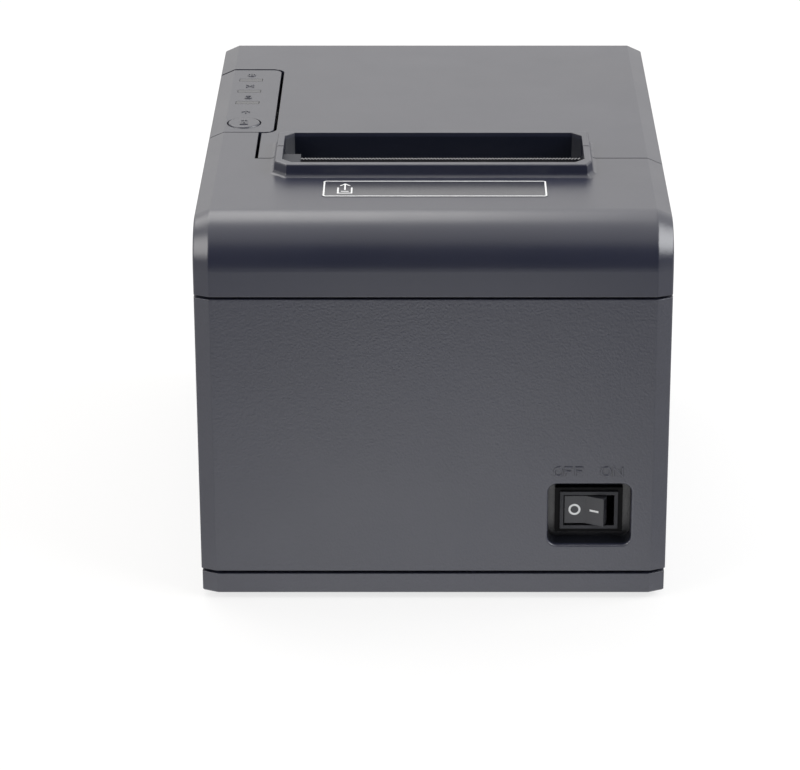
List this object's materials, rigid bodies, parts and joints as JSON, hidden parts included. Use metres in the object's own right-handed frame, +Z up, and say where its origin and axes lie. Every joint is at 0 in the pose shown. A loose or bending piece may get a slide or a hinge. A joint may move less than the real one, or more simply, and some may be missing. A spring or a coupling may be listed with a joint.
{
  "type": "receipt printer",
  "caption": "Desktop receipt printer: dark box case with a raised paper slot on top, hinged lid over a roll bay, sliding front cover, button panel and a recessed rocker switch.",
  "frame": {"origin": "on the table under the middle of the case", "axes": "+Z up, front with the switch at -Y, +X to the right seen from the front"},
  "size_m": [0.145, 0.185, 0.1286],
  "materials": {
    "case_plastic": "satin charcoal plastic, fine grain on the walls",
    "inner_plastic": "matte black plastic",
    "switch_plastic": "glossy black plastic",
    "lens": "smoked light window",
    "rubber": "matte black rubber",
    "steel": "sheet steel",
    "screw_steel": "zinc plated steel",
    "blade_steel": "ground steel",
    "spring_steel": "drawn spring wire",
    "aluminium": "extruded aluminium",
    "ceramic": "glazed ceramic",
    "gear_plastic": "white acetal",
    "motor_steel": "plated steel can",
    "board": "green laminate",
    "chip": "black moulding",
    "lamp": "clear lamp",
    "socket_metal": "tin plated shell",
    "socket_plastic": "black moulding",
    "contact_brass": "brass blades",
    "ribbon": "flat cable"
  },
  "bodies": {
    "case": {"base_tray": "case_plastic", "main_housing": "case_plastic", "control_panel": "case_plastic", "indicator_windows": "lens", "rubber_feet": "rubber", "base_screws": "screw_steel", "board_screws": "screw_steel", "mechanism_screws": "screw_steel", "hinge_pins": "steel", "indicator_leds": "lamp", "panel_board": "board", "main_board": "board", "tact_switch": "chip", "switch_body": "switch_plastic", "switch_terminals": "contact_brass", "paper_bay": "inner_plastic", "paper_sensor": "chip", "mechanism_frame": "inner_plastic", "head_pin": "steel", "idler_axle": "steel", "feed_motor": "motor_steel", "cover_switch": "chip", "head_springs": "spring_steel", "cutter_bed": "steel", "cutter_motor": "motor_steel", "latch_pin": "steel", "latch_spring": "spring_steel", "usb_socket": "socket_metal", "network_socket": "socket_plastic", "drawer_socket": "socket_plastic", "power_inlet": "socket_plastic", "board_chips": "chip", "board_capacitors": "aluminium", "buzzer": "chip", "panel_ribbon": "ribbon"},
    "lid": {"lid_cover": "case_plastic", "carrier_screws": "screw_steel", "platen_carrier": "inner_plastic", "fixed_blade": "blade_steel", "platen_bushings": "gear_plastic"},
    "platen": {"platen_shaft": "steel", "platen_rubber": "rubber", "platen_gear": "gear_plastic"},
    "idler": {"idler_gear": "gear_plastic"},
    "feed_drive": {"feed_pinion": "gear_plastic"},
    "front": {"front_cover": "case_plastic", "tear_bar": "steel"},
    "button": {"feed_button": "case_plastic"},
    "rocker": {"power_rocker": "switch_plastic"},
    "release": {"release_button": "case_plastic"},
    "latch": {"latch_hook": "inner_plastic"},
    "blade": {"moving_blade": "blade_steel"},
    "cutter_wheel": {"cutter_gear": "gear_plastic"},
    "cutter_drive": {"cutter_pinion": "gear_plastic"},
    "head": {"head_heatsink": "aluminium", "head_plate": "ceramic"}
  },
  "joints": [
    {"name": "lid_hinge", "type": "hinge", "parent": "case", "child": "lid", "pos_m": [0, 0.09, 0.094], "axis": [-1, 0, 0], "range_deg": [0, 90]},
    {"name": "front_cover_slide", "type": "slide", "parent": "case", "child": "front", "axis": [0, -1, 0], "range_m": [0, 0.03]},
    {"name": "platen_spin", "type": "hinge", "parent": "lid", "child": "platen", "pos_m": [0, -0.024, 0.099], "axis": [1, 0, 0], "continuous": true},
    {"name": "idler_spin", "type": "hinge", "parent": "case", "child": "idler", "pos_m": [0, -0.03026, 0.08244], "axis": [1, 0, 0], "continuous": true},
    {"name": "feed_drive_spin", "type": "hinge", "parent": "case", "child": "feed_drive", "pos_m": [0, -0.04281, 0.07519], "axis": [1, 0, 0], "continuous": true},
    {"name": "feed_button_press", "type": "slide", "parent": "case", "child": "button", "axis": [0, 0, -1], "range_m": [0, 0.0006], "stiffness_N_per_m": 1200, "springref_m": -0.0006},
    {"name": "power_rocker_tilt", "type": "hinge", "parent": "case", "child": "rocker", "pos_m": [0.0484, -0.08205, 0.0286], "axis": [0, 0, 1], "range_deg": [0, 26]},
    {"name": "release_press", "type": "slide", "parent": "case", "child": "release", "axis": [-1, 0, 0], "range_m": [0, 0.002], "stiffness_N_per_m": 800, "springref_m": -0.001},
    {"name": "latch_swing", "type": "hinge", "parent": "case", "child": "latch", "pos_m": [0.062, -0.02, 0.081], "axis": [0, -1, 0], "range_deg": [0, 11.5], "deforming": ["latch_spring"]},
    {"name": "head_swing", "type": "hinge", "parent": "case", "child": "head", "pos_m": [0, -0.03415, 0.088], "axis": [1, 0, 0], "range_deg": [0, 3], "stiffness_Nm_per_rad": 4, "springref_deg": -2.86, "deforming": ["head_springs"]},
    {"name": "blade_slide", "type": "slide", "parent": "case", "child": "blade", "axis": [0, 1, 0], "range_m": [0, 0.009]},
    {"name": "cutter_wheel_turn", "type": "hinge", "parent": "case", "child": "cutter_wheel", "pos_m": [-0.0274, -0.052, 0], "axis": [0, 0, 1], "range_deg": [0, 130]},
    {"name": "cutter_drive_turn", "type": "hinge", "parent": "case", "child": "cutter_drive", "pos_m": [-0.0274, -0.0657, 0], "axis": [0, 0, 1], "range_deg": [-312, 0]}
  ],
  "couplings": [
    {"joint": "idler_spin", "follows": "platen_spin", "ratio": -0.83333},
    {"joint": "feed_drive_spin", "follows": "platen_spin", "ratio": 1.6667},
    {"joint": "latch_swing", "follows": "release_press", "rad_per_m": 96},
    {"joint": "cutter_wheel_turn", "follows": "blade_slide", "rad_per_m": 250},
    {"joint": "cutter_drive_turn", "follows": "blade_slide", "rad_per_m": -600}
  ]
}
